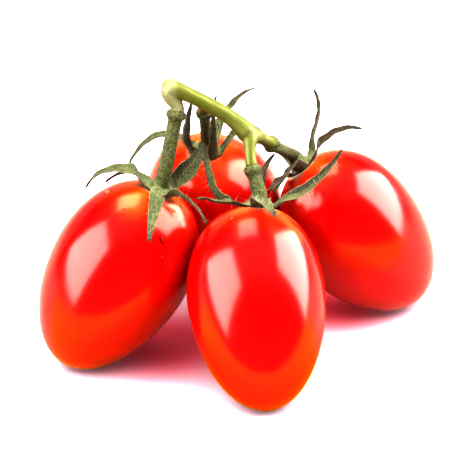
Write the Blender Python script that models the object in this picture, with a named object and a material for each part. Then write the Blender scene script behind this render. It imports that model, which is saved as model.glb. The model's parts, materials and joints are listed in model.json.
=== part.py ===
"""A truss of four plum tomatoes, picked on the vine.

Four fruits lie on a table with their stem ends gathered in the middle. Each wears a calyx of
five pointed sepals on its own short stalk, and a branching stem joins the four stalks at their
knuckles. Shapes are worked out in millimetres and degrees, with +X to the right, +Y away from
the front fruit and +Z up, and the finished meshes are in metres.
"""
import math
from collections import namedtuple

import bmesh
import bpy
import numpy as np

MM = 0.001

# The middle of the whole truss in plan, which becomes the origin
PLAN_CENTRE = (1.0, 16.3)

# Fruit: where its middle lies on the table, its length and width, the way its blossom end
# points and how far it dips, how far its stem end leans, and where its calyx sits (an angle
# down from the stem end, and one round it)
Fruit = namedtuple("Fruit", "x y length width heading dip lean calyx_down calyx_round lobe_turn")
FRUITS = {
    "left": Fruit(-29.3, 8.6, 49.5, 33.4, 209.0, 55.5, (-1.3, 0.0), 11, 116, 20),
    "front": Fruit(4.8, -7.3, 48.4, 32.3, 282.0, 57.5, (-0.5, 0.0), 8, 144, 75),
    "right": Fruit(29.8, 32.5, 49.1, 32.9, 12.5, 48.5, (2.1, 2.1), 12, 172, 140),
    "back": Fruit(-5.2, 41.5, 47.4, 34.2, 89.5, 75.5, (-2.2, -4.6), 1, 64, 0),
}
ROUNDNESS = 0.95        # under 1 the fruit is fuller than an ellipsoid
TAPER = 0.11            # the stem end is broader than the blossom end
LOBES = 3
LOBE_DEPTH = 0.02       # of the radius, on the shoulders
DIMPLE_DEPTH = 1.5
DIMPLE_RADIUS = 5.5
FLAT_DEPTH = 0.25       # how much of the skin the table presses flat
FRUIT_SIDES = 32
FRUIT_RINGS = 22
RING_CROWDING = 1.25    # rings lie closer together near the stem end

# Sepal: the way it leaves the stalk and how that way turns, the angle it rises at, an upward
# curl centred on bend_at, a droop that grows to the tip, then its length and greatest width,
# and how far the blade is turned on its midrib
Sepal = namedtuple("Sepal", "turn sweep rise curl bend_at droop length width twist")
SEPALS = {
    "left": [
        Sepal(195, -35, 30, -30, 0.15, -90, 19.5, 4.4, -15),
        Sepal(265, 10, -5, 15, 0.70, -40, 23.0, 4.2, 0),
        Sepal(300, 0, 10, 10, 0.15, -40, 21.0, 3.8, -20),
        Sepal(35, 60, 20, 20, 0.15, -5, 16.5, 5.2, 30),
        Sepal(135, 10, -10, 0, 0.40, -60, 16.5, 4.2, 0),
    ],
    "front": [
        Sepal(200, 15, 0, 65, 0.60, -85, 15.0, 4.0, 20),
        Sepal(150, 60, -5, 75, 0.40, 10, 22.5, 4.4, 0),
        Sepal(275, 20, 20, -25, 0.15, -30, 17.5, 5.0, 0),
        Sepal(5, 0, 10, 25, 0.35, 30, 23.5, 4.4, 35),
        Sepal(95, -60, 15, 55, 0.10, -30, 14.5, 2.8, 60),
    ],
    "right": [
        Sepal(25, 60, 15, -15, 0.50, 45, 21.5, 2.8, -40),
        Sepal(340, -10, 10, 15, 0.40, -70, 19.5, 3.8, 0),
        Sepal(275, -45, 20, -15, 0.30, -5, 20.5, 3.8, 0),
        Sepal(225, 55, 15, -10, 0.15, 10, 19.0, 3.8, 0),
        Sepal(105, 10, 25, 0, 0.40, -20, 15.5, 3.8, 0),
    ],
    "back": [
        Sepal(235, -20, 30, 60, 0.40, 20, 21.0, 3.8, 0),
        Sepal(185, 15, 30, -50, 0.50, -50, 23.0, 3.6, 0),
        Sepal(65, -20, 25, -20, 0.75, -20, 20.5, 3.6, 0),
        Sepal(295, -65, 30, 40, 0.15, 45, 20.5, 3.2, 0),
        Sepal(335, 80, 40, -80, 0.60, -30, 19.5, 4.0, 0),
    ],
}
SEPAL_THICK = 0.62
SEPAL_STATIONS = 11
SEPAL_ROOT = 1.2        # how far from the stalk's middle the free blade starts
SEPAL_LIFT = 0.8        # and how high over the skin
SEPAL_SINK = 1.0        # how far its root runs back into the stalk's foot
SEPAL_FOLD = 0.16       # the margins stand this much of the width over the midrib
SEPAL_WIDEST = 0.22
SEPAL_TIP = 0.18        # the tip's width, of the greatest
BEND_SPAN = 0.2         # half the stretch that a curl takes
TWIST_REACH = 0.35      # the blade is fully turned on its midrib from here on

# Stalks: knuckles, where a ripe fruit snaps off, and widths above, at and below them
Stalk = namedtuple("Stalk", "knuckle above collar below foot")
STALKS = {
    "left": Stalk((-14.0, 15.1, 62.5), 3.1, 4.2, 3.3, 3.7),
    "front": Stalk((3.5, 8.5, 51.3), 2.7, 3.8, 3.3, 3.7),
    "right": Stalk((8.0, 17.8, 52.5), 2.8, 3.7, 2.8, 3.3),
    "back": Stalk((-7.8, 24.0, 58.4), 2.8, 3.6, 2.7, 3.2),
}
KNUCKLE_GAP = 0.3
FOOT_SINK = 0.6         # the stalk's foot reaches this far into the dimple
FOOT_STRAIGHT = 2.8     # and leaves it straight for this far
FOOT_WIDTH = 5.6        # width of the disc that carries the sepals
FOOT_HEIGHT = 1.3
BRANCH_STRAIGHT = 0.7   # a side branch meets its knuckle straight for this far
SPINE_FINENESS = 6      # a sepal's spine is walked in this many steps per station

# Stem: the main stem from its cut end over the elbow to the fork, and the four side branches
CUT_END = (-15.0, 25.0, 63.0)
ELBOW = (-15.4, 16.2, 67.6)
STEM_MIDDLE = (-5.3, 15.0, 63.0)
FORK = (2.9, 13.0, 57.0)
BACK_JOIN = (-8.7, 15.8, 64.6)
STEM_WIDTH = 3.5
ELBOW_WIDTH = 4.3
FORK_WIDTH = 4.9
TUBE_SIDES = 10
TUBE_STEP = 1.6

COLOURS = {"skin": (0.74, 0.012, 0.006), "sepal": (0.22, 0.27, 0.10), "stem": (0.40, 0.42, 0.07)}
ROUGHNESS = {"skin": 0.16, "sepal": 0.75, "stem": 0.5}


def unit(vector):
    """The vector at length one."""
    vector = np.asarray(vector, dtype=float)
    return vector / np.linalg.norm(vector)


def smoothstep(x):
    """Eases from 0 to 1 as x goes from 0 to 1."""
    x = np.clip(x, 0.0, 1.0)
    return x * x * (3.0 - 2.0 * x)


# The fruit's shape

def fruit_axes(fruit):
    """The way to the blossom end, and two directions across it."""
    heading = math.radians(fruit.heading)
    dip = math.radians(fruit.dip)
    level = math.cos(dip)
    along = np.array([level * math.cos(heading), level * math.sin(heading), -math.sin(dip)])
    reference = (0.0, 0.0, 1.0) if abs(along[2]) < 0.95 else (0.0, 1.0, 0.0)
    side = unit(np.cross(along, reference))
    return along, side, np.cross(side, along)


def skin_offset(fruit, down, round_):
    """A point of the undimpled skin from the fruit's middle, by angles in radians."""
    along, side, across = fruit_axes(fruit)
    u = -math.cos(down)
    stemward = (1.0 - u) / 2.0
    lobe = 1.0 + LOBE_DEPTH * stemward ** 1.5 * math.cos(LOBES * round_ + math.radians(fruit.lobe_turn))
    radius = fruit.width / 2.0 * max(math.sin(down), 0.0) ** ROUNDNESS * (1.0 - TAPER * u) * lobe
    lean = stemward ** 2 * (fruit.lean[0] * side + fruit.lean[1] * across)
    return u * fruit.length / 2.0 * along + radius * (math.cos(round_) * side + math.sin(round_) * across) + lean


def fruit_middle(fruit):
    """The fruit's middle, at the height where the skin meets the table."""
    low = min(skin_offset(fruit, math.radians(down), math.radians(round_))[2]
              for down in range(90, 181, 2) for round_ in range(0, 360, 3))
    return np.array([fruit.x, fruit.y, -low - FLAT_DEPTH])


def calyx_seat(fruit):
    """Where the stalk meets the fruit, and the way out of the skin there."""
    down = math.radians(fruit.calyx_down)
    round_ = math.radians(fruit.calyx_round)
    step = math.radians(0.5)
    middle = fruit_middle(fruit)
    with_down = skin_offset(fruit, down + step, round_) - skin_offset(fruit, down - step, round_)
    with_round = skin_offset(fruit, down, round_ + step) - skin_offset(fruit, down, round_ - step)
    out = unit(np.cross(with_round, with_down))
    if out @ fruit_axes(fruit)[0] > 0.0:
        out = -out
    return middle + skin_offset(fruit, down, round_), out


def from_seat(fruit, reach, bearing):
    """Angles on the skin at a reach from the calyx seat, so that rings of points circle the seat."""
    tilt = math.radians(fruit.calyx_down)
    x = math.sin(reach) * math.cos(bearing)
    y = math.sin(reach) * math.sin(bearing)
    z = math.cos(reach)
    x, z = x * math.cos(tilt) + z * math.sin(tilt), z * math.cos(tilt) - x * math.sin(tilt)
    return math.acos(max(-1.0, min(1.0, z))), math.atan2(y, x) + math.radians(fruit.calyx_round)


def dimpled(point, seat, out):
    """The skin point, pressed in where it is near the stalk."""
    reach = point - seat
    if reach @ out < -2.0 * DIMPLE_RADIUS:
        return point
    distance = np.linalg.norm(reach - (reach @ out) * out)
    if distance >= DIMPLE_RADIUS:
        return point
    return point - out * DIMPLE_DEPTH * (1.0 + math.cos(math.pi * distance / DIMPLE_RADIUS)) / 2.0


# Meshes

def new_object(name, vertices, faces):
    """An object from vertices in millimetres and faces by index."""
    mesh = bpy.data.meshes.new(name)
    mesh.from_pydata([tuple(v) for v in vertices], [], faces)
    mesh.update()
    made = bpy.data.objects.new(name, mesh)
    bpy.context.scene.collection.objects.link(made)
    return made


def finish(made, material):
    """Brings a finished object to metres, centres it in plan and gives it its material."""
    points = np.empty(len(made.data.vertices) * 3)
    made.data.vertices.foreach_get("co", points)
    points = points.reshape(-1, 3) - np.array([*PLAN_CENTRE, 0.0])
    made.data.vertices.foreach_set("co", (points * MM).ravel())
    made.data.update()
    made.data.materials.clear()
    made.data.materials.append(material)
    made.data.shade_smooth()
    made.data.set_sharp_from_angle(angle=math.radians(50))
    return made


def make_material(name):
    """A plain finish in the colour of its part of the plant."""
    material = bpy.data.materials.new(name)
    material.use_nodes = True
    shader = material.node_tree.nodes["Principled BSDF"]
    shader.inputs["Base Color"].default_value = (*COLOURS[name], 1.0)
    shader.inputs["Roughness"].default_value = ROUGHNESS[name]
    shader.inputs["Metallic"].default_value = 0.0
    return material


def fuse(base, others):
    """Joins solids that overlap the first one into it, with one Boolean union."""
    bag = bpy.data.collections.new(base.name + "_pieces")
    bpy.context.scene.collection.children.link(bag)
    for other in others:
        bag.objects.link(other)
        bpy.context.scene.collection.objects.unlink(other)
    union = base.modifiers.new("union", "BOOLEAN")
    union.operation = "UNION"
    union.operand_type = "COLLECTION"
    union.collection = bag
    union.solver = "EXACT"
    depsgraph = bpy.context.evaluated_depsgraph_get()
    joined = bpy.data.meshes.new_from_object(base.evaluated_get(depsgraph))
    base.modifiers.clear()
    base.data = joined
    for other in others:
        bpy.data.objects.remove(other)
    bpy.data.collections.remove(bag)
    keep_outer_shell(base.data)
    return base


def keep_outer_shell(mesh):
    """Drops the pockets that the union seals, so the solid is filled: only its largest shell stays."""
    shape = bmesh.new()
    shape.from_mesh(mesh)
    unseen = set(shape.verts)
    shells = []
    while unseen:
        shell = []
        front = [unseen.pop()]
        while front:
            vertex = front.pop()
            shell.append(vertex)
            for edge in vertex.link_edges:
                neighbour = edge.other_vert(vertex)
                if neighbour in unseen:
                    unseen.remove(neighbour)
                    front.append(neighbour)
        shells.append(shell)
    shells.sort(key=len)
    for shell in shells[:-1]:
        bmesh.ops.delete(shape, geom=shell, context="VERTS")
    shape.to_mesh(mesh)
    shape.free()


def make_fruit(name, fruit, material):
    """One fruit: a closed skin with a dimple at the stalk and a flat spot on the table."""
    middle = fruit_middle(fruit)
    seat, out = calyx_seat(fruit)
    vertices = []
    for ring in range(FRUIT_RINGS + 1):
        reach = math.pi * (ring / FRUIT_RINGS) ** RING_CROWDING
        sides = 1 if ring in (0, FRUIT_RINGS) else FRUIT_SIDES
        for side in range(sides):
            down, round_ = from_seat(fruit, reach, 2.0 * math.pi * side / FRUIT_SIDES)
            vertices.append(dimpled(middle + skin_offset(fruit, down, round_), seat, out))
    last = len(vertices) - 1
    faces = []
    for side in range(FRUIT_SIDES):
        after = (side + 1) % FRUIT_SIDES
        faces.append((0, 1 + after, 1 + side))
        for ring in range(FRUIT_RINGS - 2):
            here = 1 + ring * FRUIT_SIDES
            below = here + FRUIT_SIDES
            faces.append((here + side, here + after, below + after, below + side))
        end = 1 + (FRUIT_RINGS - 2) * FRUIT_SIDES
        faces.append((end + side, end + after, last))
    made = new_object("fruit_" + name, vertices, faces)
    shape = bmesh.new()
    shape.from_mesh(made.data)
    cut = bmesh.ops.bisect_plane(shape, geom=shape.verts[:] + shape.edges[:] + shape.faces[:],
                                 plane_co=(0, 0, 0), plane_no=(0, 0, -1), clear_outer=True)
    rim = [part for part in cut["geom_cut"] if isinstance(part, bmesh.types.BMEdge)]
    bmesh.ops.contextual_create(shape, geom=rim)
    bmesh.ops.recalc_face_normals(shape, faces=shape.faces)
    shape.to_mesh(made.data)
    shape.free()
    return finish(made, material)


def smooth_path(points, step):
    """Points a step apart on a Catmull-Rom curve through the given points."""
    knots = [np.array(point, dtype=float) for point in points]
    knots = [2.0 * knots[0] - knots[1]] + knots + [2.0 * knots[-1] - knots[-2]]
    dense = []
    for a, b, c, d in zip(knots, knots[1:], knots[2:], knots[3:]):
        for t in np.linspace(0.0, 1.0, 24, endpoint=False):
            dense.append(0.5 * (2.0 * b + (c - a) * t + (2.0 * a - 5.0 * b + 4.0 * c - d) * t ** 2
                                + (3.0 * b - a - 3.0 * c + d) * t ** 3))
    dense = np.array(dense + [knots[-2]])
    lengths = np.concatenate([[0.0], np.cumsum(np.linalg.norm(np.diff(dense, axis=0), axis=1))])
    count = max(int(round(lengths[-1] / step)), 2)
    places = np.linspace(0.0, lengths[-1], count + 1)
    path = np.array([[np.interp(place, lengths, dense[:, axis]) for axis in range(3)] for place in places])
    return path, places


def tube(name, points, widths, end_way=None):
    """A round stalk along a smooth path; widths are (distance from the start, width) pairs."""
    step = TUBE_STEP
    sides = TUBE_SIDES
    path, places = smooth_path(points, step)
    far = [place for place, _ in widths]
    wide = [width for _, width in widths]
    extra = [place for place in far if 0.05 < place < places[-1] - 0.05]
    stations = sorted(set(np.round(places, 3)) | set(np.round(extra, 3)))
    stations = [s for i, s in enumerate(stations) if i == 0 or s - stations[i - 1] > 0.12]
    centres = np.array([[np.interp(s, places, path[:, axis]) for axis in range(3)] for s in stations])
    ways = np.gradient(centres, axis=0)
    if end_way is not None:
        ways[-1] = end_way
    normal = unit(np.cross(ways[0], (0.31, 0.17, 0.93)))
    vertices = []
    for centre, way, station in zip(centres, ways, stations):
        way = unit(way)
        normal = unit(normal - (normal @ way) * way)
        across = np.cross(way, normal)
        radius = np.interp(station, far, wide) / 2.0
        for side in range(sides):
            angle = 2.0 * math.pi * side / sides
            vertices.append(centre + radius * (math.cos(angle) * normal + math.sin(angle) * across))
    faces = [tuple(reversed(range(sides)))]
    for ring in range(len(centres) - 1):
        for side in range(sides):
            after = (side + 1) % sides
            here = ring * sides
            faces.append((here + side, here + after, here + sides + after, here + sides + side))
    faces.append(tuple(range((len(centres) - 1) * sides, len(centres) * sides)))
    return new_object(name, vertices, faces)


def sepal_spine(sepal, seat, out, stations):
    """Midrib points of a sepal, each with the way it runs, its side and its upper face's way."""
    first = np.array([1.0, 0.0, 0.0])
    first = unit(first - (first @ out) * out)
    second = np.cross(out, first)
    rows = []
    start = math.radians(sepal.turn)
    point = seat + SEPAL_LIFT * out + SEPAL_ROOT * (math.cos(start) * first + math.sin(start) * second)
    previous = None
    for index in range((stations - 1) * SPINE_FINENESS + 1):
        s = index / ((stations - 1) * SPINE_FINENESS)
        turn = math.radians(sepal.turn + sepal.sweep * s)
        bend = smoothstep((s - sepal.bend_at + BEND_SPAN) / (2.0 * BEND_SPAN))
        rise = math.radians(sepal.rise + sepal.curl * bend + sepal.droop * s * s)
        level = math.cos(turn) * first + math.sin(turn) * second
        way = math.cos(rise) * level + math.sin(rise) * out
        upper = math.cos(rise) * out - math.sin(rise) * level
        if previous is not None:
            point = point + (way + previous) / 2.0 * sepal.length / ((stations - 1) * SPINE_FINENESS)
        previous = way
        if index % SPINE_FINENESS == 0:
            twist = math.radians(sepal.twist) * smoothstep(s / TWIST_REACH)
            side = np.cross(upper, way)
            rows.append((s, point, way, math.cos(twist) * side + math.sin(twist) * upper,
                         math.cos(twist) * upper - math.sin(twist) * side))
    return rows


def sepal_width(sepal, s):
    """Width of a sepal along it: a short shoulder, then a long taper to the tip."""
    if s < SEPAL_WIDEST:
        share = 0.86 + 0.14 * math.sin(math.pi / 2.0 * s / SEPAL_WIDEST)
    else:
        share = 1.0 - (1.0 - SEPAL_TIP) * ((s - SEPAL_WIDEST) / (1.0 - SEPAL_WIDEST)) ** 1.1
    return sepal.width * share


def make_sepal(name, sepal, seat, out):
    """One sepal: a folded blade, its two faces split into triangles alike."""
    rows = sepal_spine(sepal, seat, out, SEPAL_STATIONS)
    s, point, way, side, upper = rows[0]
    rows.insert(0, (s, point - SEPAL_SINK * way - 0.2 * out, way, side, upper))
    vertices = []
    for s, point, way, side, upper in rows:
        half = sepal_width(sepal, s) / 2.0
        fold = SEPAL_FOLD * 2.0 * half * min(1.0, s / SEPAL_WIDEST)
        thick = SEPAL_THICK / 2.0 * upper
        for reach, lift in ((-half, fold), (0.0, 0.0), (half, fold)):
            middle = point + reach * side + lift * upper
            vertices += [middle + thick, middle - thick]
    faces = [(0, 2, 4, 5, 3, 1)]
    for row in range(len(rows) - 1):
        a = row * 6
        b = a + 6
        for left in (0, 2):
            faces += [(a + left, b + left, b + left + 2), (a + left, b + left + 2, a + left + 2)]
            faces += [(a + left + 1, b + left + 3, b + left + 1), (a + left + 1, a + left + 3, b + left + 3)]
        faces += [(a + 1, b + 1, b), (a + 1, b, a), (a + 4, b + 4, b + 5), (a + 4, b + 5, a + 5)]
    end = (len(rows) - 1) * 6
    faces.append((end, end + 1, end + 3, end + 5, end + 4, end + 2))
    made = new_object(name, vertices, faces)
    shape = bmesh.new()
    shape.from_mesh(made.data)
    bmesh.ops.recalc_face_normals(shape, faces=shape.faces)
    shape.to_mesh(made.data)
    shape.free()
    return made


def knuckle_way(name):
    """The way a stalk runs up through its knuckle."""
    seat, out = calyx_seat(FRUITS[name])
    return unit(np.array(STALKS[name].knuckle) - seat - FOOT_STRAIGHT * out)


def make_calyx(name, material):
    """A fruit's stalk below the knuckle, the disc at its foot and its five sepals, in one."""
    stalk = STALKS[name]
    seat, out = calyx_seat(FRUITS[name])
    way = knuckle_way(name)
    top = np.array(stalk.knuckle) - way * KNUCKLE_GAP / 2.0
    course = [seat - FOOT_SINK * out, seat + FOOT_STRAIGHT / 2.0 * out, seat + FOOT_STRAIGHT * out,
              top - 2.0 * way, top]
    total = smooth_path(course, TUBE_STEP)[1][-1]
    widths = [(0.0, FOOT_WIDTH * 0.8), (FOOT_SINK, FOOT_WIDTH), (FOOT_SINK + FOOT_HEIGHT * 0.6, FOOT_WIDTH * 0.94),
              (FOOT_SINK + FOOT_HEIGHT + 0.5, stalk.foot * 1.12), (FOOT_SINK + FOOT_HEIGHT + 2.0, stalk.foot),
              (total * 0.6, stalk.below), (total - 3.0, stalk.below * 1.04), (total - 1.4, stalk.collar * 0.98),
              (total - 0.6, stalk.collar), (total, stalk.collar * 0.82)]
    stem = tube("calyx_" + name, course, widths, end_way=way)
    sepals = [make_sepal(f"sepal_{name}_{number}", sepal, seat, out)
              for number, sepal in enumerate(SEPALS[name])]
    return finish(fuse(stem, sepals), material)


def make_branch(name, course, widths):
    """A side branch from the main stem down to its knuckle, which it meets square."""
    way = knuckle_way(name)
    knuckle = np.array(STALKS[name].knuckle)
    course = list(course) + [knuckle + BRANCH_STRAIGHT * way, knuckle + way * KNUCKLE_GAP / 2.0]
    total = smooth_path(course, TUBE_STEP)[1][-1]
    widths = widths + [(total, STALKS[name].above)]
    return tube("branch_" + name, course, widths, end_way=-way)


def make_stem(material):
    """The main stem with its cut end, and the four side branches down to the knuckles."""
    elbow = np.array(ELBOW)
    fork = np.array(FORK)
    main = tube("stem", [CUT_END, (-15.3, 19.5, 66.3), ELBOW, (-12.3, 15.6, 66.6), STEM_MIDDLE, (-0.8, 14.2, 60.2), FORK],
                [(0.0, STEM_WIDTH), (6.0, STEM_WIDTH), (9.5, ELBOW_WIDTH), (13.0, 3.7), (17.0, STEM_WIDTH),
                 (26.0, 3.6), (29.5, 4.1), (32.0, FORK_WIDTH)])
    left = make_branch("left", [elbow + (1.0, 0.2, 0.1), (-15.8, 15.9, 67.0), (-15.3, 15.5, 65.2)],
                       [(0.0, 3.0), (1.5, ELBOW_WIDTH), (3.5, 3.8), (5.0, 3.1)])
    front = make_branch("front", [fork + (0.0, 0.6, 0.4), (3.1, 12.0, 56.0), (3.1, 10.6, 54.4)],
                        [(0.0, 4.0), (2.0, 3.7), (4.5, 2.7)])
    right = make_branch("right", [fork + (-0.5, -0.4, 0.2), (4.4, 14.2, 56.0), (6.2, 15.8, 54.6)],
                        [(0.0, 4.2), (2.5, 3.9), (4.5, 3.0)])
    back = make_branch("back", [BACK_JOIN, (-8.6, 18.0, 63.5), (-8.2, 20.6, 61.6)],
                       [(0.0, 3.2), (2.5, 3.1), (5.0, 2.6)])
    return finish(fuse(main, [left, front, right, back]), material)


def main():
    """Builds the whole truss in an empty scene."""
    for old in list(bpy.data.objects):
        bpy.data.objects.remove(old)
    materials = {name: make_material(name) for name in COLOURS}
    for name, fruit in FRUITS.items():
        make_fruit(name, fruit, materials["skin"])
    for name in STALKS:
        make_calyx(name, materials["sepal"])
    make_stem(materials["stem"])


main()
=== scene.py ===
"""The looks of a truss of four plum tomatoes that lies on a white table.

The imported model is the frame. The fruits, the calyxes and the stem are made again here on the same
curves with finer meshes, and get their skins, hairs and light. Shapes are worked out in millimetres
and degrees, with +X to the right, +Y away from the front fruit and +Z up, and every finished mesh
is in metres.
"""
import json
import math
from collections import namedtuple

import bmesh
import bpy
import numpy as np
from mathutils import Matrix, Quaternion, Vector, noise

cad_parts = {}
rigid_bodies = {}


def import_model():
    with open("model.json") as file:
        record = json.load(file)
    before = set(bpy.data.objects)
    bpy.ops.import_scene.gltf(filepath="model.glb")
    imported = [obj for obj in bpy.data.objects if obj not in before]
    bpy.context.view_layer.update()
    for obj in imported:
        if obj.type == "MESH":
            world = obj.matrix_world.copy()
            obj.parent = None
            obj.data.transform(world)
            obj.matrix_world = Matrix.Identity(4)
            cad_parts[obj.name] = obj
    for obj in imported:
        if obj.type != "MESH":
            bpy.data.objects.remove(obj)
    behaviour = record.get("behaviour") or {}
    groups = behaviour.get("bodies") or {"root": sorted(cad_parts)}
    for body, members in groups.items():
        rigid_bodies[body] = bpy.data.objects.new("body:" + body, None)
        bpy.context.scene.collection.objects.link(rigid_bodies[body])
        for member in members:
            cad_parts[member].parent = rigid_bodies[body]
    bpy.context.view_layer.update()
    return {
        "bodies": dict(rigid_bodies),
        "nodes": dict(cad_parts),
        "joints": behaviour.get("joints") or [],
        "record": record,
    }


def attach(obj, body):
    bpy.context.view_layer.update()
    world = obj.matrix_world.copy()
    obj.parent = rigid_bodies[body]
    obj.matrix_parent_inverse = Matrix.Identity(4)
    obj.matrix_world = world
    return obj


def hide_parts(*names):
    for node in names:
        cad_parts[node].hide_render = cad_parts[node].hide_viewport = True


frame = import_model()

MM = 0.001

# The middle of the whole truss in plan, which is the origin
PLAN_CENTRE = (1.0, 16.3)

# Fruit: where its middle lies on the table, its length and width, the way its blossom end
# points and how far it dips, how far its stem end leans, and where its calyx sits (an angle
# down from the stem end, and one round it)
Fruit = namedtuple("Fruit", "x y length width heading dip lean calyx_down calyx_round lobe_turn")
FRUITS = {
    "left": Fruit(-29.3, 8.6, 49.5, 33.4, 209.0, 55.5, (-1.3, 0.0), 11, 116, 20),
    "front": Fruit(4.8, -7.3, 48.4, 32.3, 282.0, 57.5, (-0.5, 0.0), 8, 144, 75),
    "right": Fruit(29.8, 32.5, 49.1, 32.9, 12.5, 48.5, (2.1, 2.1), 12, 172, 140),
    "back": Fruit(-5.2, 41.5, 47.4, 34.2, 89.5, 75.5, (-2.2, -4.6), 1, 64, 0),
}
ROUNDNESS = 0.95        # under 1 the fruit is fuller than an ellipsoid
TAPER = 0.11            # the stem end is broader than the blossom end
LOBES = 3
LOBE_DEPTH = 0.02       # of the radius, on the shoulders
DIMPLE_DEPTH = 1.5
DIMPLE_RADIUS = 5.5
FLAT_DEPTH = 0.25       # how much of the skin the table presses flat
FRUIT_SIDES = 144
FRUIT_RINGS = 104
RING_CROWDING = 1.25    # rings lie closer together near the stem end
FURROWS = 5             # shallow furrows that run out from the calyx over the shoulders
FURROW_DEPTH = 0.01
FURROW_REACH = 16.0
WAVE_HEIGHT = 0.03      # faint unevenness all over the skin
WAVE_LENGTH = 11.0
SCAR_WIDTH = 1.5        # the blossom scar: a small knob with a pit in it
SCAR_HEIGHT = 0.35

# Sepal: the way it leaves the stalk and how that way turns, the angle it rises at, an upward
# curl centred on bend_at, a droop that grows to the tip, its length and greatest width, how far
# the blade is turned on its midrib, where it is widest, how dry it is, and which half of its fold
# is painted dark brown as shade (1 or -1, or 0 for neither)
Sepal = namedtuple("Sepal", "turn sweep rise curl bend_at droop length width twist widest dry brown")
SEPALS = {
    "left": [
        Sepal(195, -35, 30, -30, 0.15, -90, 19.5, 6.0, -15, 0.15, 0.25, 0),
        Sepal(265, 10, -5, 15, 0.70, -40, 23.0, 5.4, 0, 0.05, 0.00, 0),
        Sepal(300, 0, 10, 10, 0.15, -40, 21.0, 5.2, -28, 0.08, 0.30, 1),
        Sepal(35, 60, 20, 20, 0.15, -5, 16.5, 5.4, 30, 0.40, 0.30, 1),
        Sepal(135, 10, -10, 0, 0.40, -60, 16.5, 4.2, 0, 0.20, 0.20, 0),
    ],
    "front": [
        Sepal(200, 15, 0, 65, 0.60, -85, 15.0, 4.8, -10, 0.20, 0.15, 0),
        Sepal(150, 60, -5, 75, 0.40, 10, 22.5, 5.0, 38, 0.15, 0.15, 0),
        Sepal(267, 34, 10, -15, 0.15, -30, 17.5, 7.0, 0, 0.10, 0.05, 0),
        Sepal(5, 0, 10, 25, 0.35, 30, 23.5, 4.8, 35, 0.40, 0.35, 1),
        Sepal(95, -60, 15, 55, 0.10, -30, 14.5, 2.8, 60, 0.30, 0.80, 0),
    ],
    # The right calyx's sepals are set very dry, so they are painted dark brown: partly their drying, partly
    # painted shade of their undersides.
    "right": [
        Sepal(25, 60, 15, -15, 0.50, 45, 21.5, 3.6, -14, 0.30, 0.75, 1),
        Sepal(340, -10, 10, 15, 0.40, -70, 19.5, 3.8, 24, 0.30, 0.85, 0),
        Sepal(275, -45, 20, -15, 0.30, -5, 20.5, 4.4, 0, 0.30, 1.00, 0),
        Sepal(225, 55, 15, -10, 0.15, 10, 19.0, 4.6, 0, 0.30, 1.00, 0),
        Sepal(105, 10, 25, 0, 0.40, -20, 15.5, 3.8, 0, 0.20, 0.50, 0),
    ],
    "back": [
        Sepal(235, -20, 30, 60, 0.40, 20, 21.0, 4.8, 0, 0.20, 0.90, 0),
        Sepal(185, 15, 30, -50, 0.50, -50, 23.0, 3.6, 0, 0.30, 0.30, 1),
        Sepal(65, -20, 25, -20, 0.75, -20, 20.5, 2.8, 0, 0.30, 0.50, 0),
        Sepal(295, -65, 30, 40, 0.15, 45, 20.5, 2.4, 0, 0.20, 0.05, 0),
        Sepal(335, 80, 40, -80, 0.60, -30, 19.5, 4.4, 0, 0.20, 0.10, 0),
    ],
}
SEPAL_ROOT = 1.2        # how far from the stalk's middle the midrib starts
SEPAL_LIFT = 0.8        # and how high over the skin
SEPAL_FOLD = 0.16       # the margins stand this much of the width over the midrib
SEPAL_SHOULDER = 0.86   # its width at the stalk, of the greatest
SEPAL_TIP = 0.20        # and at its tip
BEND_SPAN = 0.2         # half the stretch that a curl takes
TWIST_REACH = 0.35      # the blade is fully turned on its midrib from here on
SEPAL_ROWS = 30
ACROSS = (-1.0, -0.64, -0.3, 0.0, 0.3, 0.64, 1.0)
MIDRIB_THICK = 0.62
BLADE_THICK = 0.34
RIPPLE = 0.16           # how far the margins wave up and down
RIPPLES = 1.46          # and how often, in radians to a millimetre
TIP_THINNING = 0.45
FINE_STEPS = 120
NEAR_ROOT = 40          # the midrib leaves the hub within so many of these steps

# The hub is the ring where the sepals part from the stalk's foot
HUB_RADIUS = 3.5
HUB_NOTCH = (2.7, 4.0)      # least and greatest radius of a notch between two sepals
HUB_WEB = 1.9               # half the width that two sepals have where they part
HUB_TOP = 0.05
HUB_UNDER = -0.60
HUB_FILLET = (2.15, 0.75)   # radius and height of the ring where the stalk starts to rise
HUB_BED = [(2.6, -1.05), (1.8, -1.3), (1.1, -1.5)]      # and of the rings under it, down in the dimple
HUB_BOTTOM = -1.7
ROOT_BLEND = 4.5        # a sepal takes its own section within this length

# Stalks: knuckles, where a ripe fruit snaps off, and widths above, at and below them
Stalk = namedtuple("Stalk", "knuckle above collar below foot")
STALKS = {
    "left": Stalk((-14.0, 15.1, 62.5), 3.1, 4.2, 3.3, 3.7),
    "front": Stalk((3.5, 8.5, 51.3), 2.7, 3.8, 3.3, 3.7),
    "right": Stalk((8.0, 17.8, 52.5), 2.8, 3.7, 2.8, 3.3),
    "back": Stalk((-7.8, 24.0, 58.4), 2.8, 3.6, 2.7, 3.2),
}
KNUCKLE_GAP = 0.3
BRANCH_STRAIGHT = 0.7   # a branch comes to its knuckle straight for this far
BRANCH_SINK = 0.35      # and its end stands this far in the collar
FOOT_SINK = 0.6         # the stalk's foot reaches this far into the dimple
FOOT_STRAIGHT = 2.8     # and leaves it straight for this far
FOOT_WIDTH = 4.2        # its width down there
STALK_START = 1.5       # the round stalk starts this high over the skin
STALK_STEP = 0.75
COLLAR_LENGTH = 2.7     # the swollen stretch under the knuckle has rings closer together
COLLAR_STEP = 0.3
COLLAR_START = 2.4
# The collar, by how far under the knuckle, in shares of its width
COLLAR_SWELL = [(1.7, 1.06), (1.2, 1.14), (0.6, 1.10), (0.3, 0.98), (0.0, 0.80)]

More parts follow.
